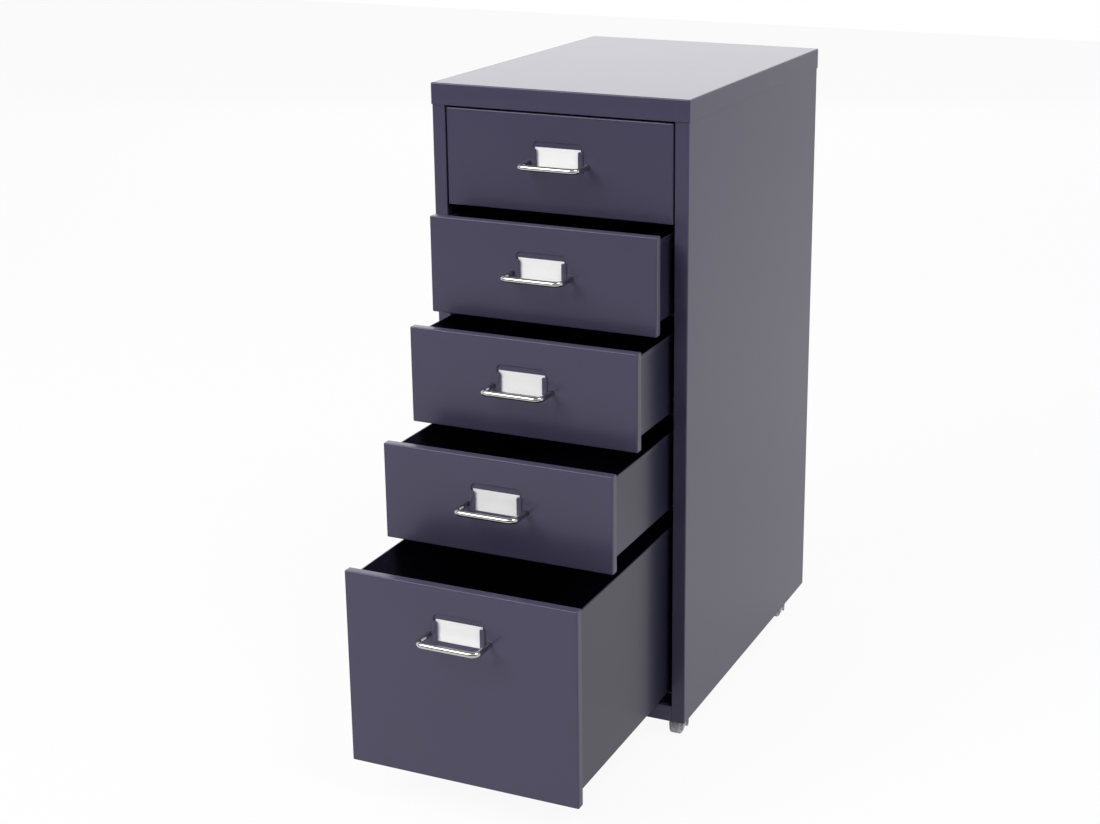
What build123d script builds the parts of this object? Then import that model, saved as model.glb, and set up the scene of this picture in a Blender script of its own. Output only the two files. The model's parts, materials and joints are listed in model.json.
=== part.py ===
from build123d import *
import os

os.makedirs("parts", exist_ok=True)

# Five-drawer sheet-steel cabinet on castors, in millimetres.
# X is across the cabinet, -Y is towards the person who opens it, Z is up from the floor.

# ---------- driving dimensions: cabinet body ----------
cabinet_width = 288.0       # outside of the top cover
cabinet_depth = 410.0       # outside of the top cover
body_height = 676.0         # bottom edge of the side panels to the top of the cover
floor_gap = 20.0            # floor to the bottom edge of the side panels
sheet = 0.8                 # steel sheet of body, drawers and cover
bend_radius = 1.2           # outside radius of a fold
cover_edge_radius = 1.6     # outside radius round the cover
skirt_height = 22.6         # turned-down edge of the cover
cover_clearance = 0.1       # between the cover's skirt and the body
jamb_width = 15.6           # outside of the cover to the opening between the jambs
jamb_return = 10.0          # depth of the fold that lines the opening
rear_flange = 16.0          # width of the side panel's rear flange
top_flange = 12.0           # width of the side panel's top flange
top_relief = 1.0            # the front and rear flanges end this far below the top one
rail_height = 17.6          # height of the base pan, and of its front rail
panel_gap = 0.1             # between neighbouring folded edges

# ---------- driving dimensions: drawers ----------
drawer_openings = (0.0, 42.0, 90.0, 151.0, 234.5)   # how far each stands open at rest, from the top
small_drawers = 4           # of equal height, above one deep drawer that takes the rest
small_front_height = 102.0
front_gap = 4.0             # between two drawer fronts
edge_gap = 2.2              # above the first front
foot_gap = 1.4              # below the last front, down to the rail
front_side_gap = 1.9        # front to jamb
front_depth = 9.0           # depth of the folded front
front_setback = 0.9         # the jambs and the closed fronts lie this far behind the cover
travel = 300.0              # how far a drawer slides out

box_side_gap = 7.2          # a drawer's side wall to the edge of the opening
box_rear_gap = 9.6          # closed drawer to the back panel
box_below_front_top = 7.0
box_above_front_foot = 10.0
hem_height = 5.0            # folded-over band along the top of the side walls
box_corner_radius = 1.5

# ---------- driving dimensions: label pocket and handle ----------
pocket_width = 56.0
pocket_drop = 28.0          # top of the front to the top of the pocket
pocket_height = 29.4
pocket_depth = 1.2
pocket_corner = 5.5
card_width = 51.4
card_height = 23.2
card_thickness = 0.3
lip_width = 4.9             # how far each lip covers the card's side
lip_drop = 7.7              # pocket top to the lips' top
lip_rise = 1.3              # how far the lips stand in front of the drawer front
lip_sheet = 0.6
lip_corner = 1.8
handle_span = 66.0          # between the two legs' centres
handle_drop = 51.0          # top of the front to the wire's centre
handle_reach = 26.5         # drawer front to the bar's centre
wire_diameter = 6.0
wire_bend = 7.5             # at the wire's centre line
wire_clearance = 0.1
wire_tail = 2.2             # wire behind the box's front wall
nut_radius = 5.8
nut_thickness = 1.2

# ---------- driving dimensions: runners and glides ----------
slide_gap = 0.3             # drawer box or glide to its runner
runner_sheet = 1.0
runner_height = 17.0        # outside of the channel
runner_front = 12.0         # behind the cabinet's front plane
runner_rear_gap = 2.5       # to the back panel
ledge_reach = 24.8          # channel's web to the ledge's edge under the box
lip_reach = 18.3            # channel's web to the edge of its upper lip
stop_height = 6.0
glide_length = 24.0
glide_inset = 8.0           # glide to the rear end of the drawer box
glide_side_gap = 0.5

# ---------- driving dimensions: castors ----------
castor_inset = 15.0         # outside of the cover to a castor's stem
castor_front = 28.3         # cabinet's front plane to the front stems
castor_rear = 55.5          # rear of the cover to the rear stems
castor_trail = 12.0         # stem to axle
wheel_radius = 9.8
wheel_width = 12.4
wheel_shoulder = 2.4
wheel_recess = (6.6, 1.2)   # radius and depth of the dish in each face
fork_gap = 0.3              # wheel to fork
fork_wall = 1.6
fork_plate = 3.9
fork_plate_radius = 8.0
hood_radius = 14.0
hood_foot = 3.5             # above the floor
hood_reach = 3.0            # the hood stops this far behind the axle
axle_boss = 3.6             # radius of the legs round the axle
# outline of a leg: distance from the stem towards the wheel, and height above the floor
leg_outline = ((-6.0, 31.0), (7.0, 31.0), (9.2, 20.5), (15.2, 11.6), (12.0, 6.5), (8.7, 8.0),
               (3.0, 19.5), (-2.0, 22.5))
axle_radius = 2.0
running_fit = 0.05
stem_radius = 3.0
stem_flange = (8.0, 2.0)    # radius and thickness
stem_above_pan = 8.0
rivet_head = (4.1, 2.0)     # radius and thickness of the stem's lower head
castor_nut = (10.0, 5.0)    # across flats and height

# ---------- driving dimensions: screws ----------
screw_radius = 1.9
screw_head = (3.6, 1.8)     # radius and height
screw_length = 8.0
screw_slot = 0.8            # width of the cross recess
screw_clearance = 0.1
rear_screws = 5             # up each side, evenly spaced
rear_screw_foot = 8.8       # foot of the side panel to the lowest
rear_screw_head_room = 46.0 # top of the cabinet to the highest
cover_screw_inset = 8.0     # side of the body to the screws in the cover's rear skirt

# ---------- worked-out places ----------
cover_half = cabinet_width / 2
opening_half = cover_half - jamb_width
front_width = 2 * (opening_half - front_side_gap)
box_half_width = opening_half - box_side_gap            # to the outside of a drawer's side wall
castor_half_span = cover_half - castor_inset
body_half = cover_half - sheet - cover_clearance        # outer face of a side panel
inner_half = body_half - sheet                          # inner face of a side panel
cabinet_top = floor_gap + body_height
skirt_bottom = cabinet_top - skirt_height
rail_top = floor_gap + rail_height
handle_front = handle_reach + wire_diameter / 2
front_reach = max(drawer_openings) + handle_front - front_setback   # before the cabinet's front plane
rear_reach = cabinet_depth + screw_head[1]              # behind it, to the cover screws' heads
front_plane = (front_reach - rear_reach) / 2            # Y of the cabinet's front plane
jamb_face = front_plane + front_setback
flange_rear = front_plane + cabinet_depth - front_setback
flange_front = flange_rear - sheet                      # the back panel lies against this
panel_top = cabinet_top - sheet
back_face = flange_front - sheet                        # inner face of the back panel
box_length = back_face - box_rear_gap - jamb_face - front_depth
runner_length = back_face - runner_rear_gap - front_plane - runner_front
first_front_top = skirt_bottom - edge_gap
deep_front_height = (first_front_top - small_drawers * (small_front_height + front_gap)
                     - foot_gap - rail_top)
screw_pitch = (body_height - rear_screw_foot - rear_screw_head_room) / (rear_screws - 1)
rear_screw_heights = [floor_gap + rear_screw_foot + screw_pitch * step for step in range(rear_screws)]


def upright(y):
    """A vertical plane at y that faces the front: its sketches have X across and Y up."""
    return Plane.XZ.offset(-y)


def save(block, name):
    block.part.label = name
    export_step(block.part, f"parts/{name}.step")


# ---------- cabinet body ----------
cover_screw_x = body_half - cover_screw_inset
cover_screw_z = skirt_bottom + skirt_height / 2

with BuildPart() as top_cover:
    with BuildSketch(Plane.XY.offset(skirt_bottom)):
        with Locations((0, front_plane + cabinet_depth / 2)):
            Rectangle(cabinet_width, cabinet_depth)
    extrude(amount=skirt_height)
    fillet(top_cover.edges().filter_by(Axis.Z), radius=cover_edge_radius)
    fillet(top_cover.faces().sort_by(Axis.Z)[-1].edges(), radius=cover_edge_radius - 0.1)
    offset(amount=-sheet, openings=top_cover.faces().sort_by(Axis.Z)[0])
    with BuildSketch(upright(front_plane + cabinet_depth)):
        with Locations((-cover_screw_x, cover_screw_z), (cover_screw_x, cover_screw_z)):
            Circle(screw_radius + screw_clearance)
    extrude(amount=2 * sheet, mode=Mode.SUBTRACT)
save(top_cover, "top_cover")

with BuildPart() as right_side_panel:
    with BuildSketch(Plane.XY.offset(floor_gap)):
        with BuildLine():
            FilletPolyline(
                (opening_half, jamb_face + sheet),
                (inner_half, jamb_face + sheet),
                (inner_half, flange_front),
                (inner_half - rear_flange, flange_front),
                radius=bend_radius - sheet,
            )
            offset(amount=sheet, side=Side.RIGHT)
        make_face()
    extrude(amount=panel_top - top_relief - floor_gap)
    # the fold that lines the opening, stopped short of the base pan
    with BuildSketch(Plane.XY.offset(rail_top + panel_gap)):
        with Locations((opening_half, jamb_face)):
            Rectangle(sheet, jamb_return, align=(Align.MIN, Align.MIN))
    extrude(amount=panel_top - top_relief - rail_top - panel_gap)
    jamb_corner = right_side_panel.edges().filter_by(Axis.Z).group_by(Axis.Y)[0].group_by(Axis.X)[0]
    fillet(jamb_corner.sort_by(SortBy.LENGTH)[-1], radius=0.6)
    # the flange that carries the cover
    with BuildSketch(upright(front_plane + cabinet_depth - 2 * jamb_return)):
        with Locations((body_half, panel_top)):
            Rectangle(sheet, top_relief, align=(Align.MAX, Align.MAX))
            Rectangle(sheet + top_flange, sheet, align=(Align.MAX, Align.MAX))
    extrude(amount=cabinet_depth - 4 * jamb_return)
    top_edges = right_side_panel.edges().filter_by(Axis.Y).group_by(Axis.Z)[-1]
    fillet(top_edges.sort_by(Axis.X)[-1], radius=bend_radius - 0.3)
    with BuildSketch(upright(flange_rear)):
        with Locations([(cover_screw_x, z) for z in (*rear_screw_heights, cover_screw_z)]):
            Circle(screw_radius + screw_clearance)
    extrude(amount=2 * sheet, mode=Mode.SUBTRACT)
save(right_side_panel, "right_side_panel")

with BuildPart() as left_side_panel:
    mirror(right_side_panel.part, about=Plane.YZ)
save(left_side_panel, "left_side_panel")

with BuildPart() as back_panel:
    with BuildSketch(upright(flange_front)):
        with Locations((0, rail_top)):
            Rectangle(2 * (inner_half - bend_radius), panel_top - sheet - rail_top,
                      align=(Align.CENTER, Align.MIN))
    extrude(amount=sheet)
    with BuildSketch(upright(flange_front)):
        for z in (*rear_screw_heights[1:], cover_screw_z):
            with Locations((-cover_screw_x, z), (cover_screw_x, z)):
                Circle(screw_radius + screw_clearance)
    extrude(amount=2 * sheet, mode=Mode.SUBTRACT)
save(back_panel, "back_panel")

castor_places = [
    (x, front_plane + y)
    for y in (castor_front, cabinet_depth - castor_rear)
    for x in (-castor_half_span, castor_half_span)
]
skirt_front = front_plane + castor_front + 28.0         # the side skirts clear the swivelling castors
skirt_rear = front_plane + cabinet_depth - castor_rear - 30.0

with BuildPart() as base_pan:
    with BuildSketch(Plane.XY.offset(rail_top)) as pan_floor:
        with Locations((0, jamb_face + sheet + panel_gap)):
            Rectangle(2 * inner_half, flange_front - jamb_face - sheet - panel_gap,
                      align=(Align.CENTER, Align.MIN))
        fillet(pan_floor.vertices(), radius=bend_radius)
    extrude(amount=-sheet)
    # front rail between the jambs
    with BuildSketch(upright(jamb_face)):
        with Locations((0, floor_gap)):
            Rectangle(2 * (opening_half - panel_gap), rail_height, align=(Align.CENTER, Align.MIN))
    extrude(amount=-(sheet + panel_gap))
    fillet(base_pan.edges().filter_by(Axis.X).group_by(Axis.Y)[0].sort_by(Axis.Z)[-1], radius=0.7)
    # rear and side skirts
    with BuildSketch(upright(flange_front)):
        with Locations((0, floor_gap)):
            Rectangle(2 * (inner_half - bend_radius), rail_height, align=(Align.CENTER, Align.MIN))
    extrude(amount=sheet)
    with BuildSketch(Plane.XY.offset(floor_gap)):
        for side in (-1, 1):
            with Locations((side * (inner_half - sheet / 2), (skirt_front + skirt_rear) / 2)):
                Rectangle(sheet, skirt_rear - skirt_front)
    extrude(amount=rail_height)
    with BuildSketch(Plane.XY.offset(rail_top)):
        with Locations(castor_places):
            Circle(stem_radius + wire_clearance)
    extrude(amount=-2 * sheet, mode=Mode.SUBTRACT)
    with BuildSketch(upright(flange_front)):
        with Locations((-cover_screw_x, rear_screw_heights[0]), (cover_screw_x, rear_screw_heights[0])):
            Circle(screw_radius + screw_clearance)
    extrude(amount=2 * sheet, mode=Mode.SUBTRACT)
save(base_pan, "base_pan")


flange_screws = [(side * cover_screw_x, z) for side in (-1, 1) for z in rear_screw_heights]
cover_screws = [(side * cover_screw_x, cover_screw_z) for side in (-1, 1)]

with BuildPart() as body_screws:
    for seat, places in ((flange_rear, flange_screws), (front_plane + cabinet_depth, cover_screws)):
        with BuildSketch(upright(seat)):
            with Locations(places):
                Circle(screw_radius)
        extrude(amount=screw_length)
        with BuildSketch(upright(seat)):
            with Locations(places):
                Circle(screw_head[0])
        extrude(amount=-screw_head[1])
        fillet(body_screws.edges().group_by(Axis.Y)[-1], radius=0.8 * screw_head[1])
        with BuildSketch(upright(seat + screw_head[1])):
            with Locations(places):
                Rectangle(screw_head[0], screw_slot)
                Rectangle(screw_slot, screw_head[0])
        extrude(amount=0.6 * screw_head[1], mode=Mode.SUBTRACT)
save(body_screws, "body_screws")

# ---------- castors: the parts fixed to the base pan ----------
pan_underside = rail_top - sheet
fork_top = pan_underside - stem_flange[1] - slide_gap
rivet_top = fork_top - fork_plate - slide_gap

with BuildPart() as castor_stems:
    for start, end, radius in (
        (rail_top + stem_above_pan, rivet_top, stem_radius),
        (pan_underside, pan_underside - stem_flange[1], stem_flange[0]),
        (rivet_top, rivet_top - rivet_head[1], rivet_head[0]),
    ):
        with BuildSketch(Plane.XY.offset(start)):
            with Locations(castor_places):
                Circle(radius)
        extrude(amount=end - start)
    fillet(castor_stems.edges().group_by(Axis.Z)[0], radius=rivet_head[1] / 2)
save(castor_stems, "castor_stems")

with BuildPart() as castor_nuts:
    with BuildSketch(Plane.XY.offset(rail_top)):
        with Locations(castor_places):
            RegularPolygon(castor_nut[0] / 2, 6, major_radius=False)
            Circle(stem_radius, mode=Mode.SUBTRACT)
    extrude(amount=castor_nut[1])
save(castor_nuts, "castor_nuts")

# ---------- castors: fork, axle and wheel, trailing towards the front ----------
leg_inner = wheel_width / 2 + fork_gap
leg_outer = leg_inner + fork_wall
axle_z = wheel_radius


def castor_fork(x, y):
    """Two legs, joined by a hood that follows the wheel and by the plate that turns on the stem."""
    axle_y = y - castor_trail
    plate_foot = fork_top - fork_plate
    with BuildPart() as fork:
        with BuildSketch(Plane.YZ.offset(x - leg_outer)):
            with BuildLine():
                Polyline([(y - reach, z) for reach, z in leg_outline], close=True)
            make_face()
            with Locations((axle_y, axle_z)):
                Circle(axle_boss)
        extrude(amount=2 * leg_outer)
        with BuildSketch(Plane.YZ.offset(x - leg_inner)):
            with Locations((y, plate_foot)):
                Rectangle(4 * hood_radius, plate_foot, align=(Align.CENTER, Align.MAX))
        extrude(amount=2 * leg_inner, mode=Mode.SUBTRACT)
        with BuildSketch(Plane.YZ.offset(x - leg_outer)):
            with Locations((axle_y, axle_z)):
                Circle(hood_radius)
                Circle(hood_radius - fork_wall, mode=Mode.SUBTRACT)
            with Locations((axle_y + hood_reach, hood_foot)):
                Rectangle(2 * hood_radius, 2 * hood_radius, align=(Align.MIN, Align.MIN),
                          mode=Mode.INTERSECT)
        extrude(amount=2 * leg_outer)
        with BuildSketch(Plane.XY.offset(fork_top)):
            with Locations((x, y)):
                Circle(fork_plate_radius)
        extrude(amount=-fork_plate)
        with BuildSketch(Plane.XY.offset(fork_top)):
            with Locations((x, y)):
                Circle(stem_radius + running_fit)
        extrude(amount=-2 * fork_plate, mode=Mode.SUBTRACT)
        with BuildSketch(Plane.YZ.offset(x - leg_outer)):
            with Locations((axle_y, axle_z)):
                Circle(axle_radius)
        extrude(amount=2 * leg_outer, mode=Mode.SUBTRACT)
    return fork


def castor_axle(x, y):
    with BuildPart() as axle:
        with BuildSketch(Plane.YZ.offset(x - leg_outer - 0.5)):
            with Locations((y - castor_trail, axle_z)):
                Circle(axle_radius)
        extrude(amount=2 * leg_outer + 1.0)
        chamfer(axle.edges(), length=0.3)
    return axle


def castor_wheel(x, y):
    with BuildPart() as wheel:
        with BuildSketch(Plane.YZ.offset(x - wheel_width / 2)):
            with Locations((y - castor_trail, axle_z)):
                Circle(wheel_radius)
        extrude(amount=wheel_width)
        fillet(wheel.edges(), radius=wheel_shoulder)
        for face, depth in ((x - wheel_width / 2, wheel_recess[1]), (x + wheel_width / 2, -wheel_recess[1])):
            with BuildSketch(Plane.YZ.offset(face)):
                with Locations((y - castor_trail, axle_z)):
                    Circle(wheel_recess[0])
                    Circle(wheel_recess[0] / 2, mode=Mode.SUBTRACT)
            extrude(amount=depth, mode=Mode.SUBTRACT)
        with BuildSketch(Plane.YZ.offset(x - wheel_width / 2)):
            with Locations((y - castor_trail, axle_z)):
                Circle(axle_radius + running_fit)
        extrude(amount=wheel_width, mode=Mode.SUBTRACT)
    return wheel


castor_names = ("front_left", "front_right", "rear_left", "rear_right")
for place_name, (stem_x, stem_y) in zip(castor_names, castor_places):
    save(castor_fork(stem_x, stem_y), f"castor_fork_{place_name}")
    save(castor_axle(stem_x, stem_y), f"castor_axle_{place_name}")
    save(castor_wheel(stem_x, stem_y), f"castor_wheel_{place_name}")


# ---------- drawers ----------
def drawer_front(face, top, height):
    """A folded pan, open at the back, with a pressed label pocket and two lips over the card's sides."""
    pocket_top = top - pocket_drop
    with BuildPart() as front:
        with BuildSketch(upright(face)):
            with Locations((0, top)):
                Rectangle(front_width, height, align=(Align.CENTER, Align.MAX))
        extrude(amount=-front_depth)
        fillet(front.edges().filter_by(Axis.Y), radius=bend_radius)
        fillet(front.faces().sort_by(Axis.Y)[0].edges(), radius=bend_radius - 0.1)
        offset(amount=-sheet, openings=front.faces().sort_by(Axis.Y)[-1])
        # the pocket is a shallow dish with rounded upper corners
        with BuildSketch(upright(face + sheet / 2)) as dish:
            with Locations((0, pocket_top + sheet)):
                Rectangle(pocket_width + 2 * sheet, pocket_height + 2 * sheet,
                          align=(Align.CENTER, Align.MAX))
            fillet(dish.vertices().group_by(Axis.Y)[-1], radius=pocket_corner + sheet)
        extrude(amount=-(pocket_depth + sheet / 2))
        with BuildSketch(upright(face)) as pocket:
            with Locations((0, pocket_top)):
                Rectangle(pocket_width, pocket_height, align=(Align.CENTER, Align.MAX))
            fillet(pocket.vertices().group_by(Axis.Y)[-1], radius=pocket_corner)
        extrude(amount=-pocket_depth, mode=Mode.SUBTRACT)
        for side in (-1, 1):
            lip_outer = side * (pocket_width / 2 + lip_sheet)
            with BuildSketch(upright(face - lip_rise + lip_sheet)) as lip:
                with Locations((lip_outer, pocket_top - lip_drop)):
                    Rectangle(lip_width + lip_sheet, pocket_height - lip_drop,
                              align=(Align.MAX if side > 0 else Align.MIN, Align.MAX))
                corners = lip.vertices().group_by(Axis.Y)[-1].sort_by(Axis.X)
                fillet(corners[0] if side > 0 else corners[-1], radius=lip_corner)
            extrude(amount=lip_sheet)
            with BuildSketch(upright(face + sheet / 2)):
                with Locations((lip_outer, pocket_top - lip_drop)):
                    Rectangle(lip_sheet, pocket_height - lip_drop,
                              align=(Align.MAX if side > 0 else Align.MIN, Align.MAX))
            extrude(amount=lip_rise)
        with BuildSketch(upright(face)):
            with Locations((-handle_span / 2, top - handle_drop), (handle_span / 2, top - handle_drop)):
                Circle(wire_diameter / 2 + wire_clearance)
        extrude(amount=-2 * sheet, mode=Mode.SUBTRACT)
    return front


def drawer_box(face, top, height):
    """A folded tray, hemmed along its sides; its front wall stands up behind the drawer front."""
    box_front = face + front_depth
    foot = top - height + box_above_front_foot
    rim = top - box_below_front_top
    with BuildPart() as box:
        with BuildSketch(Plane.XY.offset(foot)):
            with Locations((0, box_front)):
                Rectangle(2 * box_half_width, box_length, align=(Align.CENTER, Align.MIN))
        extrude(amount=rim - foot)
        fillet(box.edges().filter_by(Axis.Z) + box.faces().sort_by(Axis.Z)[0].edges(),
               radius=box_corner_radius)
        offset(amount=-sheet, openings=box.faces().sort_by(Axis.Z)[-1])
        with BuildSketch(upright(box_front)):
            with Locations((0, rim - hem_height)):
                Rectangle(2 * (box_half_width - 2 * box_corner_radius),
                          box_below_front_top + hem_height - sheet / 2, align=(Align.CENTER, Align.MIN))
        extrude(amount=-sheet)
        for side in (-1, 1):
            with BuildSketch(Plane.XY.offset(rim)):
                with Locations((side * (box_half_width + sheet / 2), box_front + 2 * box_corner_radius)):
                    Rectangle(sheet, box_length - 4 * box_corner_radius, align=(Align.CENTER, Align.MIN))
            extrude(amount=-hem_height)
            fillet(box.edges().filter_by(Axis.Y).group_by(Axis.X)[-1 if side > 0 else 0].sort_by(Axis.Z)[-1],
                   radius=0.9 * sheet)
        with BuildSketch(upright(box_front)):
            with Locations((-handle_span / 2, top - handle_drop), (handle_span / 2, top - handle_drop)):
                Circle(wire_diameter / 2 + wire_clearance)
        extrude(amount=-2 * sheet, mode=Mode.SUBTRACT)
    return box


def drawer_handle(face, top):
    """A wire bail whose two legs pass through the drawer front and the box behind it."""
    tail = face + front_depth + sheet + wire_tail
    with BuildPart() as handle:
        with BuildLine(Plane.XY.offset(top - handle_drop)) as path:
            FilletPolyline(
                (-handle_span / 2, tail),
                (-handle_span / 2, face - handle_reach),
                (handle_span / 2, face - handle_reach),
                (handle_span / 2, tail),
                radius=wire_bend,
            )
        with BuildSketch(Plane(origin=path.line @ 0, z_dir=path.line % 0)):
            Circle(wire_diameter / 2)
        sweep(path=path.line)
    return handle


def handle_nuts(face, top):
    seat = face + front_depth + sheet
    with BuildPart() as nuts:
        with BuildSketch(upright(seat)):
            with Locations((-handle_span / 2, top - handle_drop), (handle_span / 2, top - handle_drop)):
                Circle(nut_radius)
                Circle(wire_diameter / 2, mode=Mode.SUBTRACT)
        extrude(amount=-nut_thickness)
    return nuts


def label_card(face, top):
    card_foot = top - pocket_drop - pocket_height
    with BuildPart() as card:
        with BuildSketch(upright(face + pocket_depth)):
            with Locations((0, card_foot)):
                Rectangle(card_width, card_height, align=(Align.CENTER, Align.MIN))
        extrude(amount=card_thickness)
    return card


def drawer_glides(face, top, height):
    """Blocks on the drawer's rear corners that run inside the channels of the two runners."""
    foot = top - height + box_above_front_foot
    rear = face + front_depth + box_length - glide_inset
    web = inner_half - runner_sheet
    with BuildPart() as glides:
        for side in (-1, 1):
            with BuildSketch(Plane.XY.offset(foot)) as block:
                with Locations((side * box_half_width, rear)):
                    Rectangle(web - glide_side_gap - box_half_width, glide_length,
                              align=(Align.MIN if side > 0 else Align.MAX, Align.MAX))
                fillet(block.vertices(), radius=1.0)
            extrude(amount=runner_height - 2 * runner_sheet - 2 * slide_gap)
    return glides


def runner(side, top, height):
    """A channel on the side panel: the drawer box rests on its ledge, the glide runs inside it."""
    ledge = top - height + box_above_front_foot - slide_gap
    front_end = front_plane + runner_front
    web = inner_half - runner_sheet
    stop_rear = jamb_face + front_depth + box_length - glide_inset - glide_length - travel - slide_gap
    with BuildPart() as channel:
        with BuildSketch(upright(front_end + runner_length)):
            with BuildLine():
                FilletPolyline(
                    (web - ledge_reach, ledge),
                    (web, ledge),
                    (web, ledge + runner_height - 2 * runner_sheet),
                    (web - lip_reach, ledge + runner_height - 2 * runner_sheet),
                    radius=runner_sheet / 2,
                )
                offset(amount=runner_sheet, side=Side.RIGHT)
            make_face()
        extrude(amount=runner_length)
        # a turned-up tab that the glide meets at full travel
        with BuildSketch(upright(stop_rear)):
            with Locations((web, ledge - runner_sheet / 2)):
                Rectangle(lip_reach - 2 * slide_gap, stop_height + runner_sheet / 2,
                          align=(Align.MAX, Align.MIN))
        extrude(amount=runner_sheet)
    if side > 0:
        return channel
    with BuildPart() as mirrored:
        mirror(channel.part, about=Plane.YZ)
    return mirrored


front_heights = [small_front_height] * small_drawers + [deep_front_height]
front_top = first_front_top
for number, (front_height, opening) in enumerate(zip(front_heights, drawer_openings), start=1):
    face_y = jamb_face - opening
    save(drawer_front(face_y, front_top, front_height), f"drawer_front_{number}")
    save(drawer_box(face_y, front_top, front_height), f"drawer_box_{number}")
    save(drawer_handle(face_y, front_top), f"drawer_handle_{number}")
    save(handle_nuts(face_y, front_top), f"handle_nuts_{number}")
    save(label_card(face_y, front_top), f"label_card_{number}")
    save(drawer_glides(face_y, front_top, front_height), f"drawer_glides_{number}")
    save(runner(-1, front_top, front_height), f"runner_left_{number}")
    save(runner(1, front_top, front_height), f"runner_right_{number}")
    front_top -= front_height + front_gap
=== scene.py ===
import json
import bmesh
import bpy
import numpy as np
from mathutils import Matrix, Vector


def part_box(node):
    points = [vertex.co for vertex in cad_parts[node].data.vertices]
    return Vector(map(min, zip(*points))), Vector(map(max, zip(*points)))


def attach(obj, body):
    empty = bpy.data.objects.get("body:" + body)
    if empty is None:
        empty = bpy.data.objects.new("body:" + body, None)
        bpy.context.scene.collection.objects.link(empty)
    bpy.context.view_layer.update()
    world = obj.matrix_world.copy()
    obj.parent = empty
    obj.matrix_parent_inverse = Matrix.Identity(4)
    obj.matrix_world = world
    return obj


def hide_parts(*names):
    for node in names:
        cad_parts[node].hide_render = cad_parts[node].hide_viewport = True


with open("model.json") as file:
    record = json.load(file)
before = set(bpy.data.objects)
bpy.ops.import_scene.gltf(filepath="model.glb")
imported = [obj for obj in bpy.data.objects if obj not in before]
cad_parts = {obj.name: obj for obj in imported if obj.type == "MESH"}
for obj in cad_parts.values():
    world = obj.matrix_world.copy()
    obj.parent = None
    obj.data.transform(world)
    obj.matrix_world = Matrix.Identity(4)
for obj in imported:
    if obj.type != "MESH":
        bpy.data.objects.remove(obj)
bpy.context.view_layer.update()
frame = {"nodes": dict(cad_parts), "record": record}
nodes = frame["nodes"]
bodies = frame["record"]["behaviour"]["bodies"]
bodyOf = {node: body for body, members in bodies.items() for node in members}
slotOf = {part["node"]: part["material_slot"] for part in frame["record"]["subparts"]}
print("stage: frame loaded,", len(nodes), "solids")

# Metres. X across the cabinet, -Y the way the drawers open, Z up from the floor.
cabinet = {
    "frontY": -0.07435,         # the cover's front
    "setback": 0.0009,          # closed drawer fronts behind it
}
drawers = [                     # how far it is open at rest, and its front's top and height
    {"open": 0.000, "top": 0.6712, "height": 0.102},
    {"open": 0.042, "top": 0.5652, "height": 0.102},
    {"open": 0.090, "top": 0.4592, "height": 0.102},
    {"open": 0.151, "top": 0.3532, "height": 0.102},
    {"open": 0.2345, "top": 0.2472, "height": 0.2082},
]
for drawer in drawers:
    drawer["face"] = cabinet["frontY"] + cabinet["setback"] - drawer["open"]

view = {
    "place": (0.80868, -1.77100, 0.98885),
    "right": (0.92242, 0.38617, 0.00212),
    "up": (-0.11263, 0.26377, 0.95799),
    "back": (0.36939, -0.88391, 0.28680),
    "sensor": 36.0, "lens": 61.42, "shiftX": -0.0886, "shiftY": -0.0581,
    "farthest": 40.0,
}


def placed(axes, place):
    # turns an object's own axes to the three given ones and moves it there
    turn = Matrix(axes).transposed().to_4x4()
    turn.translation = place
    return turn


cameraData = bpy.data.cameras.new("camera")
cameraData.sensor_width = view["sensor"]
cameraData.lens = view["lens"]
cameraData.shift_x, cameraData.shift_y = view["shiftX"], view["shiftY"]
cameraData.clip_end = view["farthest"]
camera = bpy.data.objects.new("camera", cameraData)
bpy.context.scene.collection.objects.link(camera)
camera.matrix_world = placed((view["right"], view["up"], view["back"]), view["place"])
bpy.context.scene.camera = camera
bpy.context.scene.view_settings.view_transform = "Standard"
print("stage: camera set")

rampEnds = (0.3, 0.7)           # the part of a noise over which a colour ramp runs


# Small helpers for materials. Every pattern is noise on Object coordinates, and the values
# give a noise as its scale, its detail and, where it isn't 0.5, its roughness.
def startMaterial(name):
    material = bpy.data.materials.new(name)
    material.use_nodes = True
    tree = material.node_tree
    tree.nodes.clear()
    output = tree.nodes.new("ShaderNodeOutputMaterial")
    shader = tree.nodes.new("ShaderNodeBsdfPrincipled")
    tree.links.new(shader.outputs["BSDF"], output.inputs["Surface"])
    places = tree.nodes.new("ShaderNodeTexCoord").outputs["Object"]
    return material, tree, shader, places


def noiseOn(tree, source, scale, detail, roughness=0.5):
    noise = tree.nodes.new("ShaderNodeTexNoise")
    noise.inputs["Scale"].default_value = scale
    noise.inputs["Detail"].default_value = detail
    noise.inputs["Roughness"].default_value = roughness
    tree.links.new(source, noise.inputs["Vector"])
    return noise.outputs["Fac"]


def stretchOn(tree, source, scale):
    stretch = tree.nodes.new("ShaderNodeMapping")
    stretch.inputs["Scale"].default_value = scale
    tree.links.new(source, stretch.inputs["Vector"])
    return stretch.outputs["Vector"]


def rampOn(tree, source, low, high):
    ramp = tree.nodes.new("ShaderNodeValToRGB")
    for element, place, colour in zip(ramp.color_ramp.elements, rampEnds, (low, high)):
        element.position = place
        element.color = (*colour, 1.0)
    tree.links.new(source, ramp.inputs["Fac"])
    return ramp.outputs["Color"]


def spreadOn(tree, source, low, high, fromLow=0.0, fromHigh=1.0):
    spread = tree.nodes.new("ShaderNodeMapRange")
    spread.inputs["From Min"].default_value = fromLow
    spread.inputs["From Max"].default_value = fromHigh
    spread.inputs["To Min"].default_value = low
    spread.inputs["To Max"].default_value = high
    tree.links.new(source, spread.inputs["Value"])
    return spread.outputs["Result"]


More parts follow.
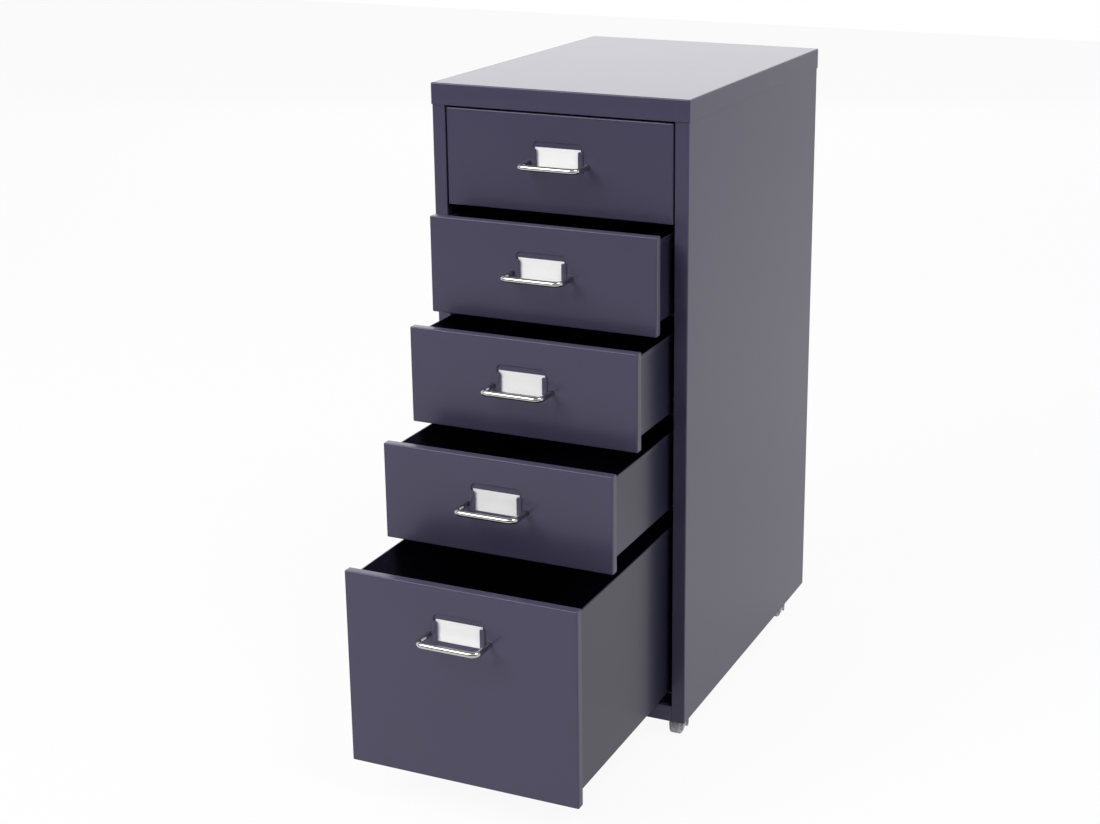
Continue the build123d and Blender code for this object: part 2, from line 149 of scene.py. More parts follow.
def bumpOn(tree, source, distance, under=None):
    bump = tree.nodes.new("ShaderNodeBump")
    bump.inputs["Distance"].default_value = distance
    tree.links.new(source, bump.inputs["Height"])
    if under is not None:
        tree.links.new(under, bump.inputs["Normal"])
    return bump.outputs["Normal"]


def scaled(colour, share):
    return tuple(share * c for c in colour)


paintValues = {
    "colour": (0.0555, 0.0495, 0.0905), "colourSpread": 0.02, "tintNoise": (9.0, 3.0),
    "shine": (0.84, 0.83, 1.0), "specular": 0.5,
    "roughness": (0.272, 0.282), "glossNoise": (14.0, 4.0),
    "peelNoise": (620.0, 2.0), "peelDepth": 5e-7,           # fine orange peel of powder paint
    "waveNoise": (5.0, 1.0, 0.4), "waveDepth": 3e-5,        # the sheet is never quite flat
    "edgeWearAndHighlight": 0.22, "paleEdgeShare": 2.2,     # how far the sharpest edges turn pale, partly wear and partly painted highlight, and how pale
    "paleEdgeFrom": (0.53, 0.62),               # the pointiness at which the pale edge starts and is full
}
# the boxes get a darker copy of the paint with a weaker sheen: painted shade, for their walls in
# the cabinet's shade
shadedBoxPaintValues = {**paintValues, "colour": (0.026, 0.024, 0.046), "shine": (0.68, 0.67, 0.76),
                  "specular": 0.44}


def slatePaint(name, values):
    # powder paint: noise gives the sheet's waves and, on them, the peel as bump, and a faint change
    # of colour and gloss; sharp outward edges are paler, partly worn film and partly painted
    # highlight
    material, tree, shader, places = startMaterial(name)
    waves = bumpOn(tree, noiseOn(tree, places, *values["waveNoise"]), values["waveDepth"])
    peel = bumpOn(tree, noiseOn(tree, places, *values["peelNoise"]), values["peelDepth"], waves)
    tree.links.new(peel, shader.inputs["Normal"])
    tint = rampOn(tree, noiseOn(tree, places, *values["tintNoise"]),
                  scaled(values["colour"], 1 - values["colourSpread"]),
                  scaled(values["colour"], 1 + values["colourSpread"]))
    # pale sharp edges: partly worn film, partly a painted highlight along the folds
    edges = tree.nodes.new("ShaderNodeNewGeometry").outputs["Pointiness"]
    wornAndLitEdge = spreadOn(tree, edges, 0.0, values["edgeWearAndHighlight"], *values["paleEdgeFrom"])
    mix = tree.nodes.new("ShaderNodeMix")
    mix.data_type = "RGBA"
    mix.inputs["B"].default_value = (*scaled(values["colour"], values["paleEdgeShare"]), 1.0)
    tree.links.new(wornAndLitEdge, mix.inputs["Factor"])
    tree.links.new(tint, mix.inputs["A"])
    tree.links.new(mix.outputs["Result"], shader.inputs["Base Color"])
    gloss = spreadOn(tree, noiseOn(tree, places, *values["glossNoise"]), *values["roughness"])
    tree.links.new(gloss, shader.inputs["Roughness"])
    shader.inputs["Specular IOR Level"].default_value = values["specular"]
    shader.inputs["Specular Tint"].default_value = (*values["shine"], 1.0)
    return material


wireValues = {
    "dull": (0.45, 0.44, 0.43), "bright": (0.57, 0.56, 0.54), "tintNoise": (90.0, 3.0),
    "rubStretch": (60.0, 900.0, 900.0), "rubNoise": (1.0, 3.0), "rubFrom": (0.35, 0.7),
    "roughness": (0.04, 0.09), "grainNoise": (260.0, 3.0), "grainDepth": 6e-6,
}


def brightWire(name, values):
    # plated wire: the rub marks in its gloss are noise drawn out along the bar
    material, tree, shader, places = startMaterial(name)
    shader.inputs["Metallic"].default_value = 1.0
    tint = rampOn(tree, noiseOn(tree, places, *values["tintNoise"]),
                  values["dull"], values["bright"])
    tree.links.new(tint, shader.inputs["Base Color"])
    rub = noiseOn(tree, stretchOn(tree, places, values["rubStretch"]), *values["rubNoise"])
    gloss = spreadOn(tree, rub, *values["roughness"], *values["rubFrom"])
    tree.links.new(gloss, shader.inputs["Roughness"])
    grain = bumpOn(tree, noiseOn(tree, places, *values["grainNoise"]), values["grainDepth"])
    tree.links.new(grain, shader.inputs["Normal"])
    return material


paperValues = {
    "low": (0.92, 0.92, 0.93), "high": (0.96, 0.96, 0.96), "roughness": 0.75,
    "fibreStretch": (900.0, 900.0, 2400.0), "fibreNoise": (1.0, 4.0), "fibreDepth": 1.2e-5,
}


def whiteCard(name, values):
    # paper card: fibres as fine noise in its colour and bump
    material, tree, shader, places = startMaterial(name)
    fibres = noiseOn(tree, stretchOn(tree, places, values["fibreStretch"]), *values["fibreNoise"])
    tree.links.new(rampOn(tree, fibres, values["low"], values["high"]), shader.inputs["Base Color"])
    shader.inputs["Roughness"].default_value = values["roughness"]
    tree.links.new(bumpOn(tree, fibres, values["fibreDepth"]), shader.inputs["Normal"])
    return material


# zinc plate is blotchy, and a little yellow where it is thick
zincValues = {
    "low": (0.46, 0.46, 0.47), "high": (0.62, 0.61, 0.58), "tintNoise": (160.0, 4.0),
    "roughness": (0.28, 0.45), "glossNoise": (700.0, 3.0),
    "grainNoise": (900.0, 2.0), "grainDepth": 1e-5, "metal": 1.0, "lightWithin": 0.0,
}


def nylonValues(colour, roughness):
    # moulded nylon has flow marks, a satin skin with a fine grain, and some light passes into it
    return {
        "low": scaled(colour, 0.93), "high": scaled(colour, 1.06), "tintNoise": (240.0, 4.0),
        "roughness": roughness, "glossNoise": (1200.0, 3.0),
        "grainNoise": (2600.0, 2.0), "grainDepth": 1.2e-5, "metal": 0.0, "lightWithin": 0.04,
    }


def grainedFinish(name, values):
    # colour between two ends, gloss between two ends and a bumpy grain, each over its own noise
    material, tree, shader, places = startMaterial(name)
    shader.inputs["Metallic"].default_value = values["metal"]
    shader.inputs["Subsurface Weight"].default_value = values["lightWithin"]
    tint = rampOn(tree, noiseOn(tree, places, *values["tintNoise"]), values["low"], values["high"])
    tree.links.new(tint, shader.inputs["Base Color"])
    gloss = spreadOn(tree, noiseOn(tree, places, *values["glossNoise"]), *values["roughness"])
    tree.links.new(gloss, shader.inputs["Roughness"])
    grain = bumpOn(tree, noiseOn(tree, places, *values["grainNoise"]), values["grainDepth"])
    tree.links.new(grain, shader.inputs["Normal"])
    return material


finishes = {
    "slate_paint": slatePaint("slatePaint", paintValues),
    "bright_wire": brightWire("brightWire", wireValues),
    "white_card": whiteCard("whiteCard", paperValues),
    "zinc_steel": grainedFinish("zincSteel", zincValues),
    "castor_nylon": grainedFinish("castorNylon", nylonValues((0.70, 0.69, 0.73), (0.37, 0.48))),
    "glide_nylon": grainedFinish("glideNylon", nylonValues((0.62, 0.61, 0.58), (0.45, 0.56))),
}
# a darker copy of the paint: painted shade for the drawer boxes
shadedBoxPaint = slatePaint("shadedBoxPaint", shadedBoxPaintValues)
for name, node in nodes.items():
    node.data.materials.clear()
    node.data.materials.append(finishes[slotOf[name]])
print("stage: materials made")


def addPiece(name, mesh, body, slot, stands=()):
    mesh.materials.clear()
    mesh.materials.append(finishes[slot])
    piece = bpy.data.objects.new(name, mesh)
    bpy.context.scene.collection.objects.link(piece)
    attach(piece, body)
    if stands:
        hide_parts(*stands)
    return piece


def writeSmooth(work, mesh, crisp):
    # back into the mesh, shaded smooth but for the edges that turn by more than crisp degrees
    limit = np.radians(crisp)
    for edge in work.edges:
        edge.smooth = not (len(edge.link_faces) == 2 and edge.calc_face_angle() > limit)
    work.to_mesh(mesh)
    work.free()
    mesh.polygons.foreach_set("use_smooth", [True] * len(mesh.polygons))


weld = {"piece": 1e-7, "solid": 1e-6}       # places nearer than this are one


def meshPiece(name, points, faces, body, slot, stands=(), crisp=50):
    # points is an N by 3 array and faces a list of index arrays
    mesh = bpy.data.meshes.new(name)
    mesh.from_pydata(points.reshape(-1, 3).tolist(), [],
                     [face for block in faces for face in block.tolist()])
    work = bmesh.new()
    work.from_mesh(mesh)
    bmesh.ops.remove_doubles(work, verts=work.verts, dist=weld["piece"])
    bmesh.ops.recalc_face_normals(work, faces=work.faces)
    writeSmooth(work, mesh, crisp)
    return addPiece(name, mesh, body, slot, stands)


def gridFaces(rows, columns, start=0, closed=False):
    # quads between neighbouring rows and columns of a grid stored row by row
    row = np.arange(rows - 1)[:, None] * columns
    column = np.arange(columns if closed else columns - 1)[None, :]
    after = (column + 1) % columns
    quads = [row + column, row + after, row + columns + after, row + columns + column]
    return start + np.stack(quads, axis=-1).reshape(-1, 4)


def bandFaces(first, second):
    # quads between two closed rings of as many places
    return np.stack([first, np.roll(first, -1), np.roll(second, -1), second], axis=-1)


def turnedPiece(name, profiles, centres, axis, body, slot, stands, crisp=35):
    # a closed profile (radius, along) for each angle, turned about a level axis through each
    # centre: place = centre + radius*(cos t, sin t) across + along*axis
    axis = np.array(axis, float)
    first = np.cross(axis, (0.0, 0.0, 1.0))
    second = np.cross(axis, first)
    t = np.linspace(0, 2 * np.pi, profiles.shape[0], endpoint=False)
    across = np.cos(t)[:, None] * first + np.sin(t)[:, None] * second
    shape = profiles[..., :1] * across[:, None, :] + profiles[..., 1:] * axis
    points, faces, start = [], [], 0
    rows, columns = profiles.shape[:2]
    ring = np.arange(columns)
    for centre in centres:
        points.append((shape + np.array(centre)).reshape(-1, 3))
        faces.append(gridFaces(rows, columns, start, closed=True))
        faces.append(bandFaces(start + (rows - 1) * columns + ring, start + ring))
        start += rows * columns
    return meshPiece(name, np.concatenate(points), faces, body, slot, stands, crisp)


foldValues = {
    "crispAngle": 32.0, "flatAngle": 0.4, "segments": 2,
    "widths": {                 # how wide the eased edges are on the solids that keep their shape
        0.00018: ("top_cover", "left_side", "right_side", "back_panel", "base_pan", "drawer_box",
                  "runner_"),
        0.0004: ("castor_fork", "drawer_glides"),
        0.0002: ("castor_nuts", "castor_stems", "castor_axle", "body_screws"),
    },
}


def softened(name, width, values):
    # a merged copy of a solid, its cut edges eased by a narrow bevel and its flat faces kept flat
    mesh = nodes[name].data.copy()
    mesh.name = f"{name}Eased"
    work = bmesh.new()
    work.from_mesh(mesh)
    bmesh.ops.remove_doubles(work, verts=work.verts, dist=weld["solid"])
    bmesh.ops.dissolve_limit(work, angle_limit=np.radians(values["flatAngle"]),
                             verts=work.verts, edges=work.edges)
    writeSmooth(work, mesh, values["crispAngle"])
    piece = addPiece(mesh.name, mesh, bodyOf[name], slotOf[name], [name])
    bevel = piece.modifiers.new("easedEdges", "BEVEL")
    bevel.width, bevel.segments = width, values["segments"]
    bevel.limit_method, bevel.angle_limit = "ANGLE", np.radians(values["crispAngle"])
    bevel.miter_outer = "MITER_ARC"
    flat = piece.modifiers.new("flatFaces", "WEIGHTED_NORMAL")
    flat.keep_sharp = True
    return piece


for name in nodes:
    for width, kinds in foldValues["widths"].items():
        if name.startswith(kinds):
            piece = softened(name, width, foldValues)
            # the drawer boxes take the darker copy, which is painted shade
            if name.startswith("drawer_box"):
                piece.data.materials[0] = shadedBoxPaint
print("stage: folded sheet and castor frames eased")


frontValues = {
    "halfWidth": 0.1265, "depth": 0.009, "bend": 0.0012, "sheet": 0.0008,
    "cornerSteps": 6, "foldSteps": 7,
    "pocketHalf": 0.028, "pocketTop": 0.028, "pocketFoot": 0.0574,
    "pocketCorner": 0.0055, "pocketSquare": 0.0004,         # its upper and its lower corners
    "pocketDepth": 0.0012, "pocketWall": 0.00045,
    "legHalf": 0.033, "legDrop": 0.051,                     # where the handle's legs go through
    "holeRadius": 0.0032, "holeDip": 0.00025, "holeRim": 0.0004,
    "crown": 0.00012,           # the pressed sheet stands a little proud in its middle
    # where the grid's spacing changes, out from the middle and up to the top, and the spacings
    "acrossStops": (0.0, 0.0214, 0.0288, 0.0292, 0.0368),
    "acrossSteps": (0.0043, 0.00024, 0.0004, 0.0004, 0.011),
    "dropStops": (0.0582, 0.0566, 0.0466, 0.0348, 0.0276),
    "dropSteps": (0.0115, 0.00016, 0.0004, 0.004, 0.00024, 0.007),
    "lineDecimals": 7,          # lines that agree to so many decimals are one
}


def spacedLines(stops, steps, decimals):
    # places from the first stop to the last, evenly spaced between stops by about each step
    runs = [np.linspace(start, end, max(2, int(round((end - start) / step)) + 1))
            for start, end, step in zip(stops, stops[1:], steps)]
    return np.unique(np.round(np.concatenate(runs), decimals))


def smooth(t):
    # rises from 0 to 1 with flat ends: 3t squared minus 2t cubed
    t = np.clip(t, 0.0, 1.0)
    return t * t * (3 - 2 * t)


def quarterTurn(steps):
    return np.radians(np.linspace(0, 90, steps))


def outlineOf(aLines, bLines, cornerSteps):
    # places once round the flat face and the outward direction (cos t, sin t) at each, where t
    # stays the same along a side and fans out over a quarter turn at a corner
    a0, a1, b0, b1 = aLines[0], aLines[-1], bLines[0], bLines[-1]
    sides = [np.c_[aLines, np.full(len(aLines), b0)],
             np.c_[np.full(len(bLines), a1), bLines],
             np.c_[aLines[::-1], np.full(len(aLines), b1)],
             np.c_[np.full(len(bLines), a0), bLines[::-1]]]
    base, out = [], []
    for number, side in enumerate(sides):
        angles = np.radians(-90 + 90 * number) + quarterTurn(cornerSteps + 1)
        fan = np.c_[np.cos(angles), np.sin(angles)]
        base += [side, np.repeat(side[-1:], cornerSteps - 1, axis=0)]
        out += [np.repeat(fan[:1], len(side), axis=0), fan[1:-1]]
    return np.concatenate(base), np.concatenate(out)


def panSkin(aLines, bLines, press, bend, behind, values):
    # one skin of a folded pan, as places (a, b, depth). On the face the depth is behind +
    # press(a, b). Over the fold, at angle t, it goes out by bend*sin t and back by
    # bend*(1 - cos t), then straight back
    a, b = np.meshgrid(aLines, bLines)
    face = np.stack([a, b, behind + press(a, b)], axis=-1)
    base, out = outlineOf(aLines, bLines, values["cornerSteps"])
    t = quarterTurn(values["foldSteps"])
    depth = values["depth"]
    reach = np.r_[bend * np.sin(t), bend, bend]
    back = np.r_[behind + bend * (1 - np.cos(t)), (behind + bend + depth) / 2, depth]
    depths = np.broadcast_to(back[:, None, None], (len(back), len(base), 1))
    return face, np.concatenate([base + out * reach[:, None, None], depths], axis=-1)


def foldedPan(aLines, bLines, pressOut, pressIn, values):
    # outer and inner skin, joined round the open edge
    skins = ((pressOut, values["bend"], 0.0),
             (pressIn, values["bend"] - values["sheet"], values["sheet"]))
    points, faces, openEdges, start = [], [], [], 0
    for press, bend, behind in skins:
        for grid, closed in zip(panSkin(aLines, bLines, press, bend, behind, values),
                                (False, True)):
            rows, columns = grid.shape[:2]
            points.append(grid.reshape(-1, 3))
            faces.append(gridFaces(rows, columns, start, closed))
            start += rows * columns
        openEdges.append(start - columns + np.arange(columns))
    faces.append(bandFaces(*openEdges))
    return np.concatenate(points), faces


def drawerFront(number, drawer, values):
    # a folded pan with a dished label pocket: the dish's depth is a smooth step of the distance
    # inside the pocket's outline, and the crown is cos(pi*a/width) * sin(pi*b/height)
    top, height = drawer["top"], drawer["height"]
    halfA, bend, crown = values["halfWidth"], values["bend"], values["crown"]
    pocketMiddle = top - (values["pocketTop"] + values["pocketFoot"]) / 2
    pocketUp = (values["pocketFoot"] - values["pocketTop"]) / 2

    def dishDepth(a, b, beyond):
        # from the distance outside the outline, negative inside: a box whose upper corners are
        # rounder than its lower ones
        curve = np.where(b > pocketMiddle, values["pocketCorner"], values["pocketSquare"])
        qa = np.abs(a) - values["pocketHalf"] + curve
        qb = np.abs(b - pocketMiddle) - pocketUp + curve
        corner = np.hypot(np.maximum(qa, 0), np.maximum(qb, 0))
        outside = corner + np.minimum(np.maximum(qa, qb), 0) - curve
        return values["pocketDepth"] * smooth((beyond - outside) / values["pocketWall"])

    def pressOut(a, b):
        leg = np.hypot(np.abs(a) - values["legHalf"], b - top + values["legDrop"])
        inHole = values["holeRadius"] + values["holeRim"] / 2 - leg
        hole = values["holeDip"] * smooth(inHole / values["holeRim"])
        belly = np.cos(np.pi * a / (2 * halfA)) * np.sin(np.pi * (top - b) / height)
        return dishDepth(a, b, 0.0) + hole + crown * (1 - np.clip(belly, 0, 1))

    def pressIn(a, b):
        return dishDepth(a, b, values["sheet"]) + crown / 2

    rightStops = [*values["acrossStops"], halfA - bend]
    rightLines = spacedLines(rightStops, values["acrossSteps"], values["lineDecimals"])
    aLines = np.r_[-rightLines[:0:-1], rightLines]
    upStops = [top - drop for drop in (height - bend, *values["dropStops"], bend)]
    bLines = spacedLines(upStops, values["dropSteps"], values["lineDecimals"])
    points, faces = foldedPan(aLines, bLines, pressOut, pressIn, values)
    points = np.stack([points[:, 0], drawer["face"] + points[:, 2], points[:, 1]], axis=-1)
    meshPiece(f"drawerFront{number}", points, faces, f"drawer_{number}", "slate_paint",
              [f"drawer_front_{number}"], 60)


lipValues = {
    "outer": 0.0286, "inner": 0.0231, "rise": 0.0013, "sheet": 0.0006, "root": 0.0007,
    "top": 0.0357, "foot": 0.0574, "corner": 0.0018, "bend": 0.0007,
    "footRow": 0.0005, "rows": 6, "cornerFrom": 12, "cornerRows": 8, "bendSteps": 6, "tipSteps": 7,
}


def pocketLips(number, drawer, values):
    # a lip is an L carried up the pocket's side: root at the front, round bend, then a tab over
    # the card. Near its top the tab's edge follows a quarter circle, and so it is the section's
    # reach that changes
    sheet, bend, rise, corner = values["sheet"], values["bend"], values["rise"], values["corner"]
    footZ, cornerZ = drawer["top"] - values["foot"], drawer["top"] - values["top"] - corner
    upCorner = np.sin(np.radians(np.linspace(values["cornerFrom"], 90, values["cornerRows"])))
    z = np.r_[footZ, np.linspace(footZ + values["footRow"], cornerZ, values["rows"]),
              cornerZ + corner * upCorner]
    climb = np.clip(z - cornerZ, 0, corner)
    edge = values["inner"] + corner - np.sqrt(np.maximum(corner ** 2 - climb ** 2, 0))
    # each place: whether it keeps to the outer wall, then x from there or from the tab's edge,
    # and how proud of the front it stands
    t, within = quarterTurn(values["bendSteps"]), bend - sheet
    outerBend = np.c_[np.ones(len(t)), -bend * (1 - np.cos(t)), rise - bend * (1 - np.sin(t))]
    innerBend = np.c_[np.ones(len(t)), -sheet - within * (1 - np.cos(t)),
                      rise - sheet - within * (1 - np.sin(t))][::-1]
    t = np.radians(np.linspace(90, -90, values["tipSteps"]))
    tip = np.c_[np.zeros(len(t)), sheet / 2 * (1 - np.cos(t)), rise - sheet / 2 * (1 - np.sin(t))]
    loop = np.r_[[(1, 0.0, -values["root"])], outerBend, tip, innerBend,
                 [(1, -sheet, -values["root"])]]
    onWall, across, proud = loop.T
    for side, name in ((-1, "Left"), (1, "Right")):
        x = np.where(onWall > 0.5, values["outer"], edge[:, None]) + across
        y = np.broadcast_to(drawer["face"] - proud, x.shape)
        points = np.stack([side * x, y, np.broadcast_to(z[:, None], x.shape)], axis=-1)
        rows, columns = x.shape
        foot = np.arange(columns)
        faces = [gridFaces(rows, columns, closed=True), foot[None, ::-1],
                 (foot + (rows - 1) * columns)[None]]
        meshPiece(f"pocketLip{name}{number}", points, faces, f"drawer_{number}", "slate_paint")


cardValues = {
    "halfWidth": 0.0257, "height": 0.0232, "foot": 0.0574, "thickness": 0.0003,
    "seat": 0.00118,            # its back behind the drawer's face
    "bow": 0.00022, "bowFrom": 0.15, "columns": 41, "rows": 21,
}


def labelCard(number, drawer, values):
    # a thin sheet that bows forward: y = seat - bow*cos(pi*u/2)*sin(pi*w) squared, where w goes
    # from bowFrom at its foot to 1 at its top, with a band round the edge of the two skins
    u, v = np.meshgrid(np.linspace(-1, 1, values["columns"]), np.linspace(0, 1, values["rows"]))
    w = values["bowFrom"] + (1 - values["bowFrom"]) * v
    bow = values["bow"] * np.cos(np.pi * u / 2) * np.sin(np.pi * w) ** 2
    back = np.stack([values["halfWidth"] * u, drawer["face"] + values["seat"] - bow,
                     drawer["top"] - values["foot"] + values["height"] * v], axis=-1)
    front = back - np.array([0.0, values["thickness"], 0.0])
    grid = np.arange(u.size).reshape(u.shape)
    edge = np.r_[grid[0, :-1], grid[:-1, -1], grid[-1, :0:-1], grid[:0:-1, 0]]
    faces = [gridFaces(*u.shape), gridFaces(*u.shape, start=u.size)[:, ::-1],
             bandFaces(edge, u.size + edge)]
    meshPiece(f"labelCard{number}", np.stack([back, front]), faces,
              f"drawer_{number}", "white_card", [f"label_card_{number}"], 40)


handleValues = {
    "half": 0.033, "drop": 0.051, "reach": 0.0265, "radius": 0.00299, "bend": 0.0075,
    "tail": 0.012,              # how far the legs go on behind the drawer's face
    "flatten": 0.05, "blend": 5, "turnsFrom": 1e-3,         # what bending does to the round wire
    "legSteps": 14, "bendSteps": 17, "barSteps": 16, "around": 32,
    # the extra rings that close an end: how far along they are, and how much smaller
    "endAlong": (0.0, 0.0, 0.0002), "endSmaller": (0.00299, 0.0006, 0.00018), "endRound": 0.0006,
}


def wireHandle(number, drawer, values):
    # round wire along leg, quarter circle, bar, quarter circle, leg. The ring at each place of
    # the path is radius*(cos t along the bend's plane, sin t up), and a little flatter in a bend
    half, bend, radius = values["half"], values["bend"], values["radius"]
    centreZ, barY = drawer["top"] - values["drop"], drawer["face"] - values["reach"]
    quarter = quarterTurn(values["bendSteps"])
    leg = np.linspace(drawer["face"] + values["tail"], barY + bend, values["legSteps"])[:-1]
    bar = np.linspace(-half + bend, half - bend, values["barSteps"])[1:-1]
    left = np.r_[np.c_[np.full(len(leg), -half), leg],
                 np.c_[-half + bend * (1 - np.cos(quarter)), barY + bend * (1 - np.sin(quarter))]]
    path = np.r_[left, np.c_[bar, np.full(len(bar), barY)], left[::-1] * (-1, 1)]
    along = np.gradient(path, axis=0)
    along /= np.linalg.norm(along, axis=1)[:, None]
    side = np.c_[-along[:, 1], along[:, 0]]
    turn = np.abs(np.diff(np.arctan2(along[:, 1], along[:, 0])))
    bent = np.pad(np.r_[0.0, turn > values["turnsFrom"]], values["blend"] // 2, mode="edge")
    bent = np.convolve(bent, np.full(values["blend"], 1 / values["blend"]), mode="valid")
    endAlong, ends = np.array(values["endAlong"]), len(values["endAlong"])
    endSize = 1 - np.array(values["endSmaller"]) / radius
    which = np.r_[[0] * ends, np.arange(len(path)), [len(path) - 1] * ends]
    push = np.r_[endAlong, values["endRound"], np.zeros(len(path) - 2), -values["endRound"],
                 -endAlong[::-1]]
    size = radius * np.r_[endSize, np.ones(len(path)), endSize[::-1]]
    centre = path[which] + along[which] * push[:, None]
    wide = size * (1 - values["flatten"] * bent[which])
    t = np.linspace(0, 2 * np.pi, values["around"], endpoint=False)
    flat = centre[:, None] + side[which][:, None] * (wide[:, None] * np.cos(t))[..., None]
    tall = centreZ + size[:, None] * np.sin(t)
    meshPiece(f"wireHandle{number}", np.concatenate([flat, tall[..., None]], axis=-1),
              [gridFaces(len(which), len(t), closed=True)],
              f"drawer_{number}", "bright_wire", [f"drawer_handle_{number}"], 70)


nutValues = {
    "hole": 0.00302, "outer": 0.0058, "thickness": 0.0012, "sheet": 0.0004, "rings": 9,
    "teeth": 6, "notch": 0.0008, "notchFrom": 0.35, "notchRise": 0.3, "around": 72,
}


def pushNuts(number, drawer, values):
    # a domed spring washer: its height falls from the crown to the rim as cos(pi*s/2), and
    # between the teeth the inner edge stands back from the wire
    t = np.linspace(0, 2 * np.pi, values["around"], endpoint=False)
    between = (np.cos(values["teeth"] * t) - values["notchFrom"]) / values["notchRise"]
    inner = values["hole"] + values["notch"] * smooth(between)
    s = np.linspace(0, 1, values["rings"])
    radius = inner[:, None] + (values["outer"] - inner)[:, None] * s
    dome = (values["thickness"] - values["sheet"]) * np.cos(np.pi * s / 2)
    outerSkin = np.stack([radius, np.broadcast_to(dome + values["sheet"], radius.shape)], axis=-1)
    innerSkin = np.stack([radius, np.broadcast_to(dome, radius.shape)], axis=-1)
    profiles = np.concatenate([outerSkin, innerSkin[:, ::-1]], axis=1)
    seat = drawer["face"] + frontValues["depth"] + frontValues["sheet"]
    centres = [(side * handleValues["half"], seat, drawer["top"] - handleValues["drop"])
               for side in (-1, 1)]
    turnedPiece(f"pushNuts{number}", profiles, centres, (0.0, 1.0, 0.0),
                f"drawer_{number}", "zinc_steel", [f"handle_nuts_{number}"])


for number, drawer in enumerate(drawers, start=1):
    drawerFront(number, drawer, frontValues)
    pocketLips(number, drawer, lipValues)
    labelCard(number, drawer, cardValues)
    wireHandle(number, drawer, handleValues)
    pushNuts(number, drawer, nutValues)
print("stage: drawer fronts, cards and handles made")


wheelValues = {
    "radius": 0.0098, "halfWidth": 0.0062, "shoulder": 0.0024, "shoulderSteps": 7,
    "bore": 0.00205, "hub": 0.0035, "recess": 0.0066, "recessDepth": 0.0012, "ease": 0.0002,
    "ribs": 5, "ribFrom": 0.86, "ribRise": 0.10, "ribHeight": 0.8,
    "grooveDepth": 0.00012, "grooveOut": 0.0004,            # beside the mould line
    "around": 120,
}


def castorWheel(place, values):
    # turned profile: bore, hub face, dished web with ribs, rim face, round shoulder, tread with
    # a groove each side of its mould line. The dish's depth is recessDepth*(1 - ribHeight*rib),
    # where rib is a narrow bump of the angle
    low, high = np.array(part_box(f"castor_wheel_{place}"))
    t = np.linspace(0, 2 * np.pi, values["around"], endpoint=False)
    rib = smooth((np.cos(values["ribs"] * t) - values["ribFrom"]) / values["ribRise"])
    tread, half, shoulder = values["radius"], values["halfWidth"], values["shoulder"]
    bore, hub, recess, ease = values["bore"], values["hub"], values["recess"], values["ease"]
    quarter = quarterTurn(values["shoulderSteps"])
    radius = np.r_[bore, bore + ease, hub - ease / 2, hub + ease, recess - ease,
                   recess + ease / 2, tread - shoulder * (1 - np.sin(quarter))]
    along = np.r_[half - ease, np.full(5, half), half - shoulder * (1 - np.cos(quarter))]
    dished = np.r_[0, 0, 0, 1, 1, 0, np.zeros(len(quarter))]
    depth = along - dished * values["recessDepth"] * (1 - values["ribHeight"] * rib[:, None])
    rows = np.broadcast_to(radius, depth.shape)
    groove, out = tread - values["grooveDepth"], values["grooveOut"]
    middle = np.array([[groove, out], [tread, 0.0], [groove, -out]])
    profiles = np.concatenate([np.stack([rows, depth], axis=-1),
                               np.broadcast_to(middle, (len(t), *middle.shape)),
                               np.stack([rows, -depth], axis=-1)[:, ::-1]], axis=1)
    turnedPiece(f"castorWheel_{place}", profiles, [(low + high) / 2], (1.0, 0.0, 0.0),
                f"{place}_wheel", "castor_nylon", [f"castor_wheel_{place}"], 30)


for place in ("front_left", "front_right", "rear_left", "rear_right"):
    castorWheel(place, wheelValues)
print("stage: castor wheels made")


# the pale floor, and two dim cards out of the camera's sight that draw the dark lines along the
# bright wire: the end of the studio behind the camera, and its ceiling
stagePlanes = {
    "floor": {"colour": 0.90, "corners": [
        (-6.0, -6.0, 0.0), (6.0, -6.0, 0.0), (6.0, 6.0, 0.0), (-6.0, 6.0, 0.0)]},
    "studioEnd": {"colour": 0.05, "corners": [
        (-6.0, -2.5, 0.0), (6.0, -2.5, 0.0), (6.0, -2.5, 1.4), (-6.0, -2.5, 1.4)]},
    "studioCeiling": {"colour": 0.20, "corners": [
        (-4.0, -2.2, 3.4), (4.0, -2.2, 3.4), (4.0, 0.8, 3.4), (-4.0, 0.8, 3.4)]},
}
# how much plain white is mixed over the lit floor, which keeps its shadow, and over the world
floorWhite = {"camera": 0.93, "glossy": 0.5}
worldWhite = {"camera": 1.0, "glossy": 1.0}
worldStrength = 0.36
plainWhite = (1.0, 1.0, 1.0, 1.0)


def mathOn(tree, operation, first, second):
    # second is a number or another socket
    node = tree.nodes.new("ShaderNodeMath")
    node.operation = operation
    tree.links.new(first, node.inputs[0])
    if isinstance(second, float):
        node.inputs[1].default_value = second
    else:
        tree.links.new(second, node.inputs[1])
    return node.outputs[0]


def whiteShare(tree, camera, glossy):
    # the camera's share for rays from the camera and through clear surfaces, the glossy one for
    # reflected rays, and none for the light that falls on the object
    path = tree.nodes.new("ShaderNodeLightPath").outputs
    direct = mathOn(tree, "MAXIMUM", path["Is Camera Ray"], path["Is Transmission Ray"])
    return mathOn(tree, "MAXIMUM", mathOn(tree, "MULTIPLY", direct, camera),
                  mathOn(tree, "MULTIPLY", path["Is Glossy Ray"], glossy))


def mixWhite(tree, share, lit, white, output):
    mix = tree.nodes.new("ShaderNodeMixShader")
    tree.links.new(share, mix.inputs["Fac"])
    tree.links.new(lit, mix.inputs[1])
    tree.links.new(white, mix.inputs[2])
    tree.links.new(mix.outputs["Shader"], output.inputs["Surface"])


